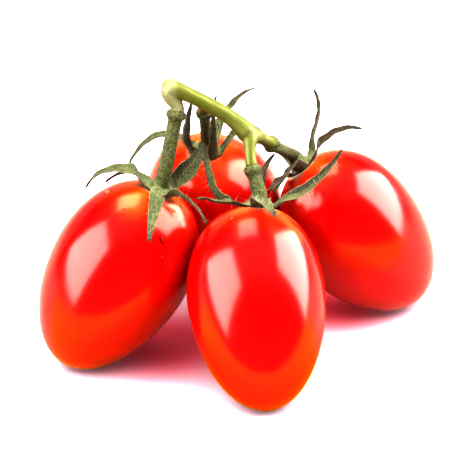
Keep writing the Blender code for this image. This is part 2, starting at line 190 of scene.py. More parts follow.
# Stem: the main stem from its cut end over the elbow to the fork, and the four side branches
CUT_END = (-15.0, 25.0, 63.0)
ELBOW = (-15.4, 16.2, 67.6)
STEM_MIDDLE = (-5.3, 15.0, 63.0)
FORK = (2.9, 13.0, 57.0)
BACK_JOIN = (-8.7, 15.8, 64.6)
STEM_WIDTH = 3.5
ELBOW_WIDTH = 4.3
FORK_WIDTH = 4.9
TUBE_SIDES = 28
TUBE_STEP = 0.6
STEM_GRAIN = 0.22       # size of the facets that the fused stem is made of
KNOB_HEIGHT = 0.10      # of the stem's faint unevenness
PALE_ELBOW = (-13.4, 19.0)      # the stem is pale from here on to the left, and to the front
OFF_AXIS = (0.31, 0.17, 0.93)   # runs along none of the tubes

# The camera stands in front of the truss and looks down on it
CAMERA_TARGET = (-0.93, -1.50, 29.05)
CAMERA_ELEVATION = 27.0
CAMERA_DISTANCE = 620.0
CAMERA_LENS = 195.6
SENSOR = 36.0


def unit(vector):
    """The vector at length one."""
    vector = np.asarray(vector, dtype=float)
    return vector / np.linalg.norm(vector)


def smoothstep(x):
    """Eases from 0 to 1 as x goes from 0 to 1."""
    x = np.clip(x, 0.0, 1.0)
    return x * x * (3.0 - 2.0 * x)


def to_metres(points):
    """Points in millimetres, brought to metres round the middle of the truss."""
    return (np.asarray(points, dtype=float) - np.array([*PLAN_CENTRE, 0.0])) * MM


# Meshes and attributes

def new_piece(name, points, faces, attributes=None):
    """A mesh object in metres from points in millimetres, with values stored on its points."""
    mesh = bpy.data.meshes.new(name)
    mesh.from_pydata([tuple(p) for p in to_metres(points)], [], faces)
    mesh.update()
    for label, values in (attributes or {}).items():
        store(mesh, label, values)
    piece = bpy.data.objects.new(name, mesh)
    bpy.context.scene.collection.objects.link(piece)
    return piece


def store(mesh, label, values):
    """Keeps one number or one vector for each point of a mesh, for its material to read."""
    values = np.asarray(values, dtype=np.float32)
    if values.ndim == 1:
        mesh.attributes.new(label, "FLOAT", "POINT").data.foreach_set("value", values)
    else:
        mesh.attributes.new(label, "FLOAT_VECTOR", "POINT").data.foreach_set("vector", values.ravel())


def move_points(mesh, points):
    """Moves a mesh's points to places in millimetres."""
    mesh.vertices.foreach_set("co", to_metres(points).astype(np.float32).ravel())
    mesh.update()


def band(before, after):
    """Faces between two closed rows of points, by their numbers."""
    return list(zip(before, before[1:] + before[:1], after[1:] + after[:1], after))


def fan(row, tip):
    """Faces that close a row of points on one point."""
    return [(here, there, tip) for here, there in zip(row, row[1:] + row[:1])]


def face_outwards(mesh):
    """Turns every face of a closed mesh to point out."""
    shape = bmesh.new()
    shape.from_mesh(mesh)
    bmesh.ops.recalc_face_normals(shape, faces=shape.faces)
    shape.to_mesh(mesh)
    shape.free()


def settle(piece):
    """Makes the piece's modifiers part of its mesh."""
    depsgraph = bpy.context.evaluated_depsgraph_get()
    made = bpy.data.meshes.new_from_object(piece.evaluated_get(depsgraph))
    piece.modifiers.clear()
    piece.data = made
    return piece


def dress(piece, material, nodes=()):
    """Gives a finished piece its material, its body and the nodes it stands for."""
    piece.data.materials.clear()
    piece.data.materials.append(material)
    piece.data.shade_smooth()
    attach(piece, "root")
    if nodes:
        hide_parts(*nodes)
    return piece


# Node trees

def add(tree, kind, inputs=None, **settings):
    """A node with its settings; its inputs are set to values or linked to sockets."""
    node = tree.nodes.new(kind)
    for key, value in settings.items():
        setattr(node, key, value)
    for key, value in (inputs or {}).items():
        if isinstance(value, bpy.types.NodeSocket):
            tree.links.new(value, node.inputs[key])
        else:
            node.inputs[key].default_value = value
    return node


def new_material(name, values):
    """A material, its node tree and its shader, with the values that are the same all over it."""
    material = bpy.data.materials.new(name)
    material.use_nodes = True
    tree = material.node_tree
    shader = tree.nodes["Principled BSDF"]
    for label, value in values.items():
        shader.inputs[label].default_value = value
    return material, tree, shader


def attribute(tree, label):
    """A value stored on the mesh: a number, and a vector's three parts."""
    node = add(tree, "ShaderNodeAttribute", attribute_name=label)
    return node.outputs["Fac"], parts(tree, node.outputs["Vector"])


def grain(tree, place, scale, detail=3.0, roughness=0.55, distortion=0.0):
    """Soft noise, from 0 to 1, at so many waves a metre."""
    return add(tree, "ShaderNodeTexNoise", {"Vector": place, "Scale": scale, "Detail": detail,
                                            "Roughness": roughness, "Distortion": distortion}).outputs[0]


def cells(tree, place, scale):
    """How far a point is from the nearest of many scattered dots, so many to a metre."""
    return add(tree, "ShaderNodeTexVoronoi", {"Vector": place, "Scale": scale}).outputs["Distance"]


def ease(tree, value, low, high, to_low=0.0, to_high=1.0):
    """Takes a value from the low to the high mark onto a new span, with soft ends."""
    spans = {"Value": value, "From Min": low, "From Max": high, "To Min": to_low, "To Max": to_high}
    return add(tree, "ShaderNodeMapRange", spans, interpolation_type="SMOOTHSTEP").outputs[0]


def maths(tree, operation, a, b=0.0):
    """One sum of two numbers."""
    return add(tree, "ShaderNodeMath", {0: a, 1: b}, operation=operation).outputs[0]


def times(tree, a, b):
    """The product of two numbers."""
    return maths(tree, "MULTIPLY", a, b)


def plus(tree, a, b):
    """The sum of two numbers."""
    return maths(tree, "ADD", a, b)


def vectors(tree, operation, a, b=(0.0, 0.0, 0.0)):
    """One sum of two vectors, which gives a vector or, for the kinds named here, a number."""
    outputs = add(tree, "ShaderNodeVectorMath", {0: a, 1: b}, operation=operation).outputs
    return outputs["Value"] if operation in ("DISTANCE", "DOT_PRODUCT", "LENGTH") else outputs["Vector"]


def combine(tree, x=0.0, y=0.0, z=0.0):
    """A vector from three numbers."""
    return add(tree, "ShaderNodeCombineXYZ", {"X": x, "Y": y, "Z": z}).outputs[0]


def parts(tree, vector):
    """A vector's three numbers."""
    return add(tree, "ShaderNodeSeparateXYZ", {"Vector": vector}).outputs


def blend(tree, share, a, b):
    """One colour laid over another, by the share that covers it."""
    colours = [colour if isinstance(colour, bpy.types.NodeSocket) else (*colour, 1.0) for colour in (a, b)]
    inputs = {0: share, 6: colours[0], 7: colours[1]}
    return add(tree, "ShaderNodeMix", inputs, data_type="RGBA", blend_type="MIX").outputs[2]


def object_place(tree):
    """Where a point is on the piece, in metres."""
    return add(tree, "ShaderNodeTexCoord").outputs["Object"]


def bump(tree, shader, height, strength, distance):
    """Fine relief for a shader."""
    node = add(tree, "ShaderNodeBump", {"Strength": strength, "Distance": distance, "Height": height})
    tree.links.new(node.outputs["Normal"], shader.inputs["Normal"])


# The fruit's shape

def fruit_axes(fruit):
    """The way to the blossom end, and two directions across it."""
    heading = math.radians(fruit.heading)
    dip = math.radians(fruit.dip)
    level = math.cos(dip)
    along = np.array([level * math.cos(heading), level * math.sin(heading), -math.sin(dip)])
    reference = (0.0, 0.0, 1.0) if abs(along[2]) < 0.95 else (0.0, 1.0, 0.0)
    side = unit(np.cross(along, reference))
    return along, side, np.cross(side, along)


def skin_offset(fruit, down, round_):
    """Points of the undimpled skin from the fruit's middle, by angles in radians."""
    along, side, across = fruit_axes(fruit)
    u = -np.cos(down)
    stemward = (1.0 - u) / 2.0
    lobe = 1.0 + LOBE_DEPTH * stemward ** 1.5 * np.cos(LOBES * round_ + math.radians(fruit.lobe_turn))
    radius = fruit.width / 2.0 * np.maximum(np.sin(down), 0.0) ** ROUNDNESS * (1.0 - TAPER * u) * lobe
    ring = np.multiply.outer(np.cos(round_), side) + np.multiply.outer(np.sin(round_), across)
    lean = np.multiply.outer(stemward ** 2, fruit.lean[0] * side + fruit.lean[1] * across)
    return np.multiply.outer(u * fruit.length / 2.0, along) + np.asarray(radius)[..., None] * ring + lean


def fruit_middle(fruit):
    """The fruit's middle, at the height where the skin meets the table."""
    down, round_ = np.meshgrid(np.radians(np.arange(90, 181, 2)), np.radians(np.arange(0, 360, 3)))
    low = skin_offset(fruit, down, round_)[..., 2].min()
    return np.array([fruit.x, fruit.y, -low - FLAT_DEPTH])


class Seat:
    """Where a stalk meets its fruit: the place, the way out of the skin, and two level directions."""

    def __init__(self, place, out):
        first = np.array([1.0, 0.0, 0.0])
        self.place = place
        self.out = out
        self.first = unit(first - (first @ out) * out)
        self.second = np.cross(out, self.first)

    def level(self, angle):
        """The level way at an angle."""
        return math.cos(angle) * self.first + math.sin(angle) * self.second

    def point(self, angle, radius, height):
        """A point so far round, away from and over the seat."""
        return self.place + height * self.out + radius * self.level(angle)


def calyx_seat(fruit):
    """Where the stalk meets the fruit."""
    down = math.radians(fruit.calyx_down)
    round_ = math.radians(fruit.calyx_round)
    step = math.radians(0.5)
    with_down = skin_offset(fruit, down + step, round_) - skin_offset(fruit, down - step, round_)
    with_round = skin_offset(fruit, down, round_ + step) - skin_offset(fruit, down, round_ - step)
    out = unit(np.cross(with_round, with_down))
    if out @ fruit_axes(fruit)[0] > 0.0:
        out = -out
    return Seat(fruit_middle(fruit) + skin_offset(fruit, down, round_), out)


def from_seat(fruit, reach, bearing):
    """Angles on the skin at a reach from the calyx seat, so that rings of points circle the seat."""
    tilt = math.radians(fruit.calyx_down)
    x = np.sin(reach) * np.cos(bearing)
    y = np.sin(reach) * np.sin(bearing)
    z = np.cos(reach)
    x, z = x * math.cos(tilt) + z * math.sin(tilt), z * math.cos(tilt) - x * math.sin(tilt)
    return np.arccos(np.clip(z, -1.0, 1.0)), np.arctan2(y, x) + math.radians(fruit.calyx_round)


def dimpled(points, seat):
    """The skin's points, pressed in where they are near the stalk."""
    reach = points - seat.place
    height = reach @ seat.out
    distance = np.linalg.norm(reach - height[:, None] * seat.out, axis=1)
    near = (distance < DIMPLE_RADIUS) & (height > -2.0 * DIMPLE_RADIUS)
    depth = DIMPLE_DEPTH * (1.0 + np.cos(math.pi * distance / DIMPLE_RADIUS)) / 2.0
    return points - np.where(near, depth, 0.0)[:, None] * seat.out


def skin_relief(fruit, points, far, end, bearing):
    """How far each point of the skin stands out: furrows, faint waves and the blossom scar."""
    number = list(FRUITS.values()).index(fruit)
    furrow = np.cos(FURROWS * bearing + number) * np.exp(-(far / FURROW_REACH) ** 2) * smoothstep(far / 5.0)
    waves = [noise.noise(Vector(point) / WAVE_LENGTH + Vector((7.0 * number, 0.0, 0.0))) for point in points]
    end_far = np.linalg.norm(points - end, axis=1) / SCAR_WIDTH
    scar = SCAR_HEIGHT * (np.exp(-end_far ** 2) - 0.8 * np.exp(-(2.2 * end_far) ** 2))
    return FURROW_DEPTH * furrow + WAVE_HEIGHT * np.array(waves) * smoothstep(far / 6.0) + scar


def make_fruit(name, material):
    """One fruit: a closed skin with a dimple at the stalk, a blossom scar and a flat spot."""
    fruit = FRUITS[name]
    middle = fruit_middle(fruit)
    seat = calyx_seat(fruit)
    steps = np.pi * (np.arange(1, FRUIT_RINGS) / FRUIT_RINGS) ** RING_CROWDING
    turns = 2.0 * np.pi * np.arange(FRUIT_SIDES) / FRUIT_SIDES
    reach, bearing = np.meshgrid(steps, turns, indexing="ij")
    reach = np.concatenate([[0.0], reach.ravel(), [np.pi]])
    bearing = np.concatenate([[0.0], bearing.ravel(), [0.0]])
    points = dimpled(middle + skin_offset(fruit, *from_seat(fruit, reach, bearing)), seat)
    rings = [list(range(first, first + FRUIT_SIDES)) for first in range(1, len(points) - 1, FRUIT_SIDES)]
    faces = fan(rings[0], 0) + fan(rings[-1], len(points) - 1)
    for before, after in zip(rings, rings[1:]):
        faces += band(before, after)
    piece = new_piece("tomato_" + name, points, faces)
    face_outwards(piece.data)
    normals = np.array([vertex.normal[:] for vertex in piece.data.vertices])
    end = middle + fruit.length / 2.0 * fruit_axes(fruit)[0]
    far = np.linalg.norm(points - seat.place, axis=1)
    points = points + skin_relief(fruit, points, far, end, bearing)[:, None] * normals
    points[:, 2] = np.maximum(points[:, 2], 0.0)
    move_points(piece.data, points)
    store(piece.data, "from_stem", np.linalg.norm(points - seat.place, axis=1))
    store(piece.data, "from_tip", np.linalg.norm(points - end, axis=1))
    store(piece.data, "bearing", np.stack([np.cos(bearing), np.sin(bearing), np.zeros(len(points))], axis=1))
    return dress(piece, material, ["fruit_" + name])


# Colours of the skins
RED = (0.41, 0.0011, 0.0004)
BRIGHT_RED = (0.44, 0.0015, 0.0005)
ORANGE = (0.48, 0.046, 0.002)
YELLOW = (0.46, 0.100, 0.004)
FLECK = (0.52, 0.05, 0.006)
SCAR = (0.22, 0.10, 0.04)
DROP_MIDDLE = (0.52, 0.16, 0.05)
DROP_RIM = (0.14, 0.022, 0.008)
SPECK = (0.012, 0.003, 0.001)
SKIN_ROUGHNESS = (0.21, 0.25)
PATCH_WOBBLE = 2.0      # how uneven the edge of a yellow patch is

# Marks on the skins, from where to where, how far they reach, and their kind: dried drops,
# dark specks and patches that stayed yellow
Mark = namedtuple("Mark", "start end radius kind")
MARKS = [
    Mark((-25.0, 3.6, 43.7), (-22.5, 3.2, 43.2), 4.0, "patch"),
    Mark((-14.8, 7.0, 42.0), (-12.5, 7.3, 39.8), 3.0, "patch"),
    Mark((0.3, -1.2, 44.2), (0.3, -1.2, 44.2), 3.0, "patch"),
    # This patch on the front fruit's right flank is partly the skin's own colour and partly a painted
    # reflection of the bright surroundings at its edge.
    Mark((11.5, -2.5, 42.6), (14.4, -6.2, 39.5), 2.2, "patch"),
    Mark((-1.2, 34.1, 44.5), (-3.6, 30.3, 44.4), 2.2, "patch"),
    Mark((-30.9, 10.8, 43.4), (-30.5, 9.6, 43.6), 1.0, "drop"),
    Mark((-26.4, 2.3, 42.8), (-26.4, 2.3, 42.8), 0.40, "speck"),
    Mark((-18.0, -1.2, 37.2), (-17.6, -1.8, 35.8), 0.21, "speck"),
    Mark((-17.2, -1.3, 36.4), (-17.0, -1.9, 35.2), 0.17, "speck"),
    Mark((-17.4, -3.0, 33.0), (-17.4, -3.0, 33.0), 0.35, "drop"),
    Mark((-1.2, -3.6, 43.3), (-1.2, -3.6, 43.3), 0.65, "drop"),
    Mark((-1.8, -3.1, 43.0), (-1.8, -3.1, 43.0), 0.32, "speck"),
    Mark((4.7, -5.5, 44.1), (4.7, -5.5, 44.1), 0.30, "speck"),
    Mark((21.1, 19.0, 38.5), (21.1, 19.0, 38.5), 0.35, "speck"),
]


def far_from_mark(tree, place, mark):
    """How far a point is from a mark's middle line, in metres."""
    start = Vector(to_metres(mark.start))
    run = Vector(to_metres(mark.end)) - start
    reach = vectors(tree, "SUBTRACT", place, tuple(start))
    if run.length > 0.0:
        share = vectors(tree, "DOT_PRODUCT", reach, tuple(run / run.length_squared))
        share = add(tree, "ShaderNodeClamp", {0: share}).outputs[0]
        reach = vectors(tree, "SUBTRACT", reach, vectors(tree, "MULTIPLY", tuple(run), share))
    return vectors(tree, "LENGTH", reach)


def with_marks(tree, place, wobble, colour):
    """A skin's colour with its yellow patches, dried drops and dark specks."""
    for mark in MARKS:
        far = far_from_mark(tree, place, mark)
        radius = mark.radius * MM
        if mark.kind == "patch":
            far = plus(tree, far, times(tree, maths(tree, "SUBTRACT", wobble, 0.5), -PATCH_WOBBLE * MM))
            colour = blend(tree, ease(tree, far, 0.2 * radius, 1.2 * radius, 0.6, 0.0), colour, YELLOW)
        elif mark.kind == "drop":
            ring = maths(tree, "ABSOLUTE", maths(tree, "SUBTRACT", far, 0.85 * radius))
            middle = ease(tree, far, 0.2 * radius, 0.8 * radius, 0.9, 0.0)
            colour = blend(tree, middle, colour, DROP_MIDDLE)
            colour = blend(tree, ease(tree, ring, 0.05 * radius, 0.35 * radius, 0.9, 0.0), colour, DROP_RIM)
        else:
            colour = blend(tree, ease(tree, far, 0.4 * radius, radius, 0.95, 0.0), colour, SPECK)
    return colour


def skin_material():
    """Glossy ripe skin, red all over, with orange and yellow shoulders round the stalk."""
    material, tree, shader = new_material("ripe_skin", {
        "IOR": 1.5, "Coat Weight": 0.25, "Coat Roughness": 0.14, "Subsurface Weight": 0.12,
        "Subsurface Scale": 0.0025, "Subsurface Radius": (1.0, 0.15, 0.08)})
    place = object_place(tree)
    from_stem = attribute(tree, "from_stem")[0]
    bearing = add(tree, "ShaderNodeAttribute", attribute_name="bearing").outputs["Vector"]
    wobble = grain(tree, place, 220.0, 2.0)
    edge = plus(tree, from_stem, times(tree, wobble, -4.0))
    edge = plus(tree, edge, times(tree, grain(tree, bearing, 1.7, 1.0), -8.0))
    mottle = ease(tree, grain(tree, place, 160.0, 2.0), 0.3, 0.7)
    colour = blend(tree, mottle, RED, BRIGHT_RED)
    colour = blend(tree, ease(tree, edge, 1.5, 10.5, 1.0, 0.0), colour, ORANGE)
    colour = blend(tree, ease(tree, edge, -2.0, 3.5, 1.0, 0.0), colour, YELLOW)
    fleck = ease(tree, cells(tree, place, 750.0), 0.05, 0.14, 0.25, 0.0)
    fleck = times(tree, fleck, ease(tree, from_stem, 6.0, 20.0, 1.0, 0.05))
    colour = blend(tree, fleck, colour, FLECK)
    scar = ease(tree, attribute(tree, "from_tip")[0], 0.5, 1.1, 1.0, 0.0)
    colour = with_marks(tree, place, wobble, blend(tree, scar, colour, SCAR))
    tree.links.new(colour, shader.inputs["Base Color"])
    gloss = ease(tree, grain(tree, place, 900.0, 4.0), 0.3, 0.7, *SKIN_ROUGHNESS)
    tree.links.new(plus(tree, gloss, times(tree, scar, 0.4)), shader.inputs["Roughness"])
    bump(tree, shader, grain(tree, place, 2200.0, 3.0), 0.02, 0.0001)
    return material


# Paths and tubes

def smooth_path(points, step):
    """Points a step apart on a Catmull-Rom curve through the given points."""
    knots = [np.array(point, dtype=float) for point in points]
    knots = [2.0 * knots[0] - knots[1]] + knots + [2.0 * knots[-1] - knots[-2]]
    dense = []
    for a, b, c, d in zip(knots, knots[1:], knots[2:], knots[3:]):
        for t in np.linspace(0.0, 1.0, 24, endpoint=False):
            dense.append(0.5 * (2.0 * b + (c - a) * t + (2.0 * a - 5.0 * b + 4.0 * c - d) * t ** 2
                                + (3.0 * b - a - 3.0 * c + d) * t ** 3))
    dense = np.array(dense + [knots[-2]])
    lengths = np.concatenate([[0.0], np.cumsum(np.linalg.norm(np.diff(dense, axis=0), axis=1))])
    count = max(int(round(lengths[-1] / step)), 2)
    places = np.linspace(0.0, lengths[-1], count + 1)
    return along_path(dense, lengths, places), places


def along_path(path, lengths, places):
    """Points of a path at the given distances along it."""
    return np.stack([np.interp(places, lengths, path[:, axis]) for axis in range(3)], axis=-1)


def carried_ways(centres, start, end_way=None):
    """The way a path runs at each of its points, with two directions across that turn along with it."""
    ways = np.gradient(centres, axis=0)
    if end_way is not None:
        ways[-1] = end_way
    normal = start
    rows = []
    for way in ways:
        way = unit(way)
        normal = unit(normal - (normal @ way) * way)
        rows.append((way, normal, np.cross(way, normal)))
    return rows


def knuckle_way(name):
    """The way a stalk runs up through its knuckle."""
    seat = calyx_seat(FRUITS[name])
    return unit(np.array(STALKS[name].knuckle) - seat.place - FOOT_STRAIGHT * seat.out)


# The calyx: a stalk with its sepals in one closed mesh

def sepal_spine(sepal, seat):
    """Midrib points of a sepal: share of its length, place, side, upper face's way, and way."""
    point = seat.point(math.radians(sepal.turn), SEPAL_ROOT, SEPAL_LIFT)
    rows = []
    previous = None
    for s in np.linspace(0.0, 1.0, FINE_STEPS + 1):
        level = seat.level(math.radians(sepal.turn + sepal.sweep * s))
        bend = smoothstep((s - sepal.bend_at + BEND_SPAN) / (2.0 * BEND_SPAN))
        rise = math.radians(sepal.rise + sepal.curl * bend + sepal.droop * s * s)
        way = math.cos(rise) * level + math.sin(rise) * seat.out
        upper = math.cos(rise) * seat.out - math.sin(rise) * level
        if previous is not None:
            point = point + (way + previous) / 2.0 * sepal.length / FINE_STEPS
        previous = way
        twist = math.radians(sepal.twist) * smoothstep(s / TWIST_REACH)
        side = np.cross(upper, way)
        rows.append([s, *point, *(math.cos(twist) * side + math.sin(twist) * upper),
                     *(math.cos(twist) * upper - math.sin(twist) * side), *way])
    return np.array(rows)


def sepal_half(sepal, s):
    """Half the width of a sepal along it: a short shoulder, then a long taper to the tip."""
    rising = SEPAL_SHOULDER + (1.0 - SEPAL_SHOULDER) * np.sin(np.pi / 2.0 * s / sepal.widest)
    falling = 1.0 - (1.0 - SEPAL_TIP) * (np.maximum(s - sepal.widest, 0.0) / (1.0 - sepal.widest)) ** 1.1
    return sepal.width / 2.0 * np.where(s < sepal.widest, rising, falling)


class Shell:
    """A calyx's mesh while it is put together: points, faces and two values stored on each point.

    blade is how far along its sepal a point is, how far it is from the midrib, and 1 on the upper
    face. state is how dry it is, how far up the stalk it is, and which half is painted dark as shade.
    """

    def __init__(self):
        self.points = []
        self.blade = []
        self.state = []
        self.faces = []

    def point(self, place, blade, state=(0.0, 0.0, 0.0)):
        """Adds a point and gives its number."""
        self.points.append(np.asarray(place, dtype=float))
        self.blade.append(blade)
        self.state.append(state)
        return len(self.points) - 1


def blade_section(sepal, row, number):
    """A sepal's section at one row: points from margin over the top to margin, and back under."""
    s, point, side, upper = row[0], row[1:4], row[4:7], row[7:10]
    half = float(sepal_half(sepal, s))
    fold = SEPAL_FOLD * 2.0 * half * (0.6 + 0.4 * min(1.0, s / sepal.widest) + 0.5 * s * s)
    section = []
    for across in ACROSS:
        phase = RIPPLES * s * sepal.length + 2.1 * number + (1.3 if across > 0 else 0.0)
        wave = RIPPLE * math.sin(phase) * min(1.0, 3.0 * s) * min(1.0, half)
        lift = fold * abs(across) ** 1.4 + wave * across * across
        thick = (MIDRIB_THICK - (MIDRIB_THICK - BLADE_THICK) * min(1.0, abs(across) / 0.5)) / 2.0
        thick *= 0.0 if abs(across) == 1.0 else 1.0 - TIP_THINNING * s
        middle = point + across * half * side + lift * upper
        section.append((across, middle + thick * upper, middle - thick * upper))
    over = [(across, top, 1.0) for across, top, _ in section]
    under = [(across, low, 0.0) for across, _, low in reversed(section[1:-1])]
    return over + under


def notch_radius(gap):
    """How far from the stalk two sepals part, by the angle between them."""
    return float(np.clip(HUB_WEB / math.sin(gap / 2.0), *HUB_NOTCH))


def hub_point(span, across, upper, seat):
    """A point of the hub's ring: across runs from -1 to 1 between the two notches beside a sepal."""
    part = (across + 1.0) / 2.0
    share = 1.0 - across * across
    angle, notch = ((1.0 - part) * low + part * high for low, high in zip(*span))
    radius = notch + max(HUB_RADIUS - notch, 0.3) * share
    height = (HUB_TOP + HUB_UNDER) / 2.0 + (1.0 if upper else -1.0) * (HUB_TOP - HUB_UNDER) / 2.0 * share
    return seat.point(angle, radius, height)


def add_sepal(shell, sepal, number, span, hub_row, seat):
    """Grows one sepal from its stretch of the hub's ring and closes it at its tip."""
    spine = sepal_spine(sepal, seat)
    flat = spine[:, 1:4] - seat.place
    flat = np.linalg.norm(flat - (flat @ seat.out)[:, None] * seat.out, axis=1)
    start = float(np.interp(HUB_RADIUS, flat[:NEAR_ROOT], spine[:NEAR_ROOT, 0]))
    over = [hub_point(span, across, True, seat) for across in ACROSS]
    under = [hub_point(span, across, False, seat) for across in ACROSS]
    hub = over + list(reversed(under[1:-1]))
    root = along_path(spine[:, 1:4], spine[:, 0], start)
    before = hub_row
    for step in range(1, SEPAL_ROWS + 1):
        s = start + (1.0 - start) * step / SEPAL_ROWS
        row = np.array([np.interp(s, spine[:, 0], spine[:, column]) for column in range(spine.shape[1])])
        share = smoothstep((s - start) * sepal.length / ROOT_BLEND)
        numbers = []
        for at_hub, (across, place, upper) in zip(hub, blade_section(sepal, row, number)):
            moved = at_hub + row[1:4] - root
            numbers.append(shell.point((1.0 - share) * moved + share * place, (s, abs(across), upper),
                                       (sepal.dry, 0.0, sepal.brown * across)))
        shell.faces += band(before, numbers)
        before = numbers
    tip = shell.point(row[1:4] + 0.25 * row[10:13], (1.0, 0.0, 1.0), (sepal.dry, 0.0, 0.0))
    shell.faces += fan(before, tip)


def stalk_widths(stalk, total):
    """A stalk's width at places along it, from its foot to its knuckle."""
    widths = [(0.0, FOOT_WIDTH), (FOOT_SINK + 1.6, stalk.foot * 1.08), (FOOT_SINK + 2.6, stalk.foot),
              (total * 0.6, stalk.below), (total - COLLAR_START, stalk.below)]
    return widths + [(total - under, stalk.collar * share) for under, share in COLLAR_SWELL]


def add_stalk(shell, name, angles, hub_ring, seat):
    """Raises the round stalk from the hub's ring to the knuckle and closes it there."""
    way = knuckle_way(name)
    top = np.array(STALKS[name].knuckle) - way * KNUCKLE_GAP / 2.0
    course = [seat.place + height * seat.out for height in (-FOOT_SINK, FOOT_STRAIGHT / 2.0, FOOT_STRAIGHT)]
    path, places = smooth_path(course + [top - 2.0 * way, top], 0.2)
    total = places[-1]
    widths = stalk_widths(STALKS[name], total)
    low = np.arange(FOOT_SINK + STALK_START, total - COLLAR_LENGTH - COLLAR_STEP, STALK_STEP)
    stations = np.concatenate([low, total - np.arange(COLLAR_LENGTH, 0.2, -COLLAR_STEP), [total]])
    centres = along_path(path, places, stations)
    before = [shell.point(seat.point(angle, *HUB_FILLET), (0.02, 0.5, 1.0)) for angle in angles]
    shell.faces += band(hub_ring, before)
    frames = carried_ways(centres, seat.first, way)
    for station, centre, (_, normal, across) in zip(stations, centres, frames):
        radius = np.interp(station, [far for far, _ in widths], [wide for _, wide in widths]) / 2.0
        share = (station - stations[0]) / (total - stations[0])
        row = []
        for angle in angles:
            ridge = 0.025 * math.cos(5.0 * angle + 2.0 * share) + 0.02 * math.cos(3.0 * angle - 4.0 * share)
            lump = noise.noise(Vector((math.cos(angle), math.sin(angle), station * 0.45))) * 0.06
            reach = radius * (1.0 + ridge + lump)
            place = centre + reach * (math.cos(angle) * normal + math.sin(angle) * across)
            row.append(shell.point(place, (0.0, 0.5, 1.0), (0.0, share, 0.0)))
        shell.faces += band(before, row)
        before = row
    cap = shell.point(centres[-1] + 0.25 * way, (0.0, 0.5, 1.0), (0.0, 1.0, 0.0))
    shell.faces += fan(before, cap)


def hub_spans(sepals):
    """For each sepal, the angle and radius of the notch before it and of the one after it."""
    turns = [math.radians(sepal.turn) for sepal in sepals]
    after = turns[1:] + [turns[0] + 2.0 * math.pi]
    notches = [((a + b) / 2.0, notch_radius(b - a)) for a, b in zip(turns, after)]
    before = [(notches[-1][0] - 2.0 * math.pi, notches[-1][1])] + notches[:-1]
    return list(zip(before, notches))


def add_hub(shell, spans, seat):
    """The hub's ring: the angles of its points, and their numbers over and under its edge."""
    angles = []
    top_ring = []
    low_ring = []
    for span in spans:
        for across in ACROSS[:-1]:
            angles.append(span[0][0] + (span[1][0] - span[0][0]) * (across + 1.0) / 2.0)
            over = shell.point(hub_point(span, across, True, seat), (0.05, abs(across), 1.0))
            top_ring.append(over)
            if across == -1.0:
                low_ring.append(over)
            else:
                low_ring.append(shell.point(hub_point(span, across, False, seat), (0.05, abs(across), 0.0)))
    return angles, top_ring, low_ring


def make_calyx(name, material):
    """A fruit's stalk below the knuckle with its five sepals, in one closed mesh."""
    seat = calyx_seat(FRUITS[name])
    sepals = sorted(SEPALS[name], key=lambda sepal: sepal.turn)
    spans = hub_spans(sepals)
    shell = Shell()
    angles, top_ring, low_ring = add_hub(shell, spans, seat)
    count = len(ACROSS) - 1
    for number, (sepal, span) in enumerate(zip(sepals, spans)):
        pick = [(number * count + step) % len(top_ring) for step in range(count + 1)]
        hub_row = [top_ring[i] for i in pick] + [low_ring[i] for i in reversed(pick[1:-1])]
        add_sepal(shell, sepal, number, span, hub_row, seat)
    add_stalk(shell, name, angles, top_ring, seat)
    before = low_ring
    for radius, height in HUB_BED:
        row = [shell.point(seat.point(angle, radius, height), (0.0, 0.5, 0.0)) for angle in angles]
        shell.faces += band(before, row)
        before = row
    shell.faces += fan(before, shell.point(seat.point(0.0, 0.0, HUB_BOTTOM), (0.0, 0.5, 0.0)))
    piece = new_piece("green_calyx_" + name, shell.points, shell.faces,
                      {"blade": shell.blade, "state": shell.state})
    face_outwards(piece.data)
    smooth = piece.modifiers.new("smooth", "SUBSURF")
    smooth.levels = 1
    smooth.render_levels = 1
    settle(piece)
    piece.visible_glossy = False
    return dress(piece, material, ["calyx_" + name])


# Colours of the calyxes
BLADE_DARK = (0.062, 0.074, 0.022)
BLADE_LIGHT = (0.105, 0.118, 0.042)
BLADE_ROOT = (0.165, 0.190, 0.085)
STALK_DARK = (0.055, 0.063, 0.013)
STALK_LIGHT = (0.120, 0.126, 0.034)
KNUCKLE_EDGE = (0.15, 0.15, 0.06)
VEIN = (0.13, 0.14, 0.065)
MIDRIB = (0.14, 0.15, 0.07)
WITHERED = (0.045, 0.026, 0.011)
PAINTED_HALF_SHADE = (0.022, 0.017, 0.009)
# painted shade for one half of a folded blade
MARGIN = (0.27, 0.26, 0.165)
TIP = (0.028, 0.020, 0.012)
DOWN_DOT = (0.25, 0.26, 0.16)
PIT = (0.012, 0.014, 0.004)
UNDERSIDE = (0.10, 0.11, 0.06)


def green_colour(tree, place, blotch, along, across, share):
    """The live green of a calyx: its blades, pale at their roots, veins and midribs, and its stalk."""
    on_blade = maths(tree, "LESS_THAN", share, 0.001)
    colour = blend(tree, blotch, BLADE_DARK, BLADE_LIGHT)
    base = times(tree, ease(tree, along, 0.0, 0.45, 0.75, 0.0), on_blade)
    colour = blend(tree, base, colour, BLADE_ROOT)
    stalk_grain = ease(tree, grain(tree, place, 1100.0, 3.0), 0.35, 0.65)
    stalk = blend(tree, stalk_grain, STALK_DARK, STALK_LIGHT)
    colour = blend(tree, ease(tree, share, 0.0, 0.10), colour, stalk)
    colour = blend(tree, ease(tree, share, 0.965, 0.995, 0.0, 0.7), colour, KNUCKLE_EDGE)
    waves = {"Vector": combine(tree, across), "Scale": 1.6, "Distortion": 0.6}
    veins = add(tree, "ShaderNodeTexWave", waves).outputs["Fac"]
    vein = times(tree, ease(tree, veins, 0.6, 1.0), 0.25)
    colour = blend(tree, vein, colour, VEIN)
    return blend(tree, times(tree, ease(tree, across, 0.03, 0.12, 0.5, 0.0), on_blade), colour, MIDRIB)


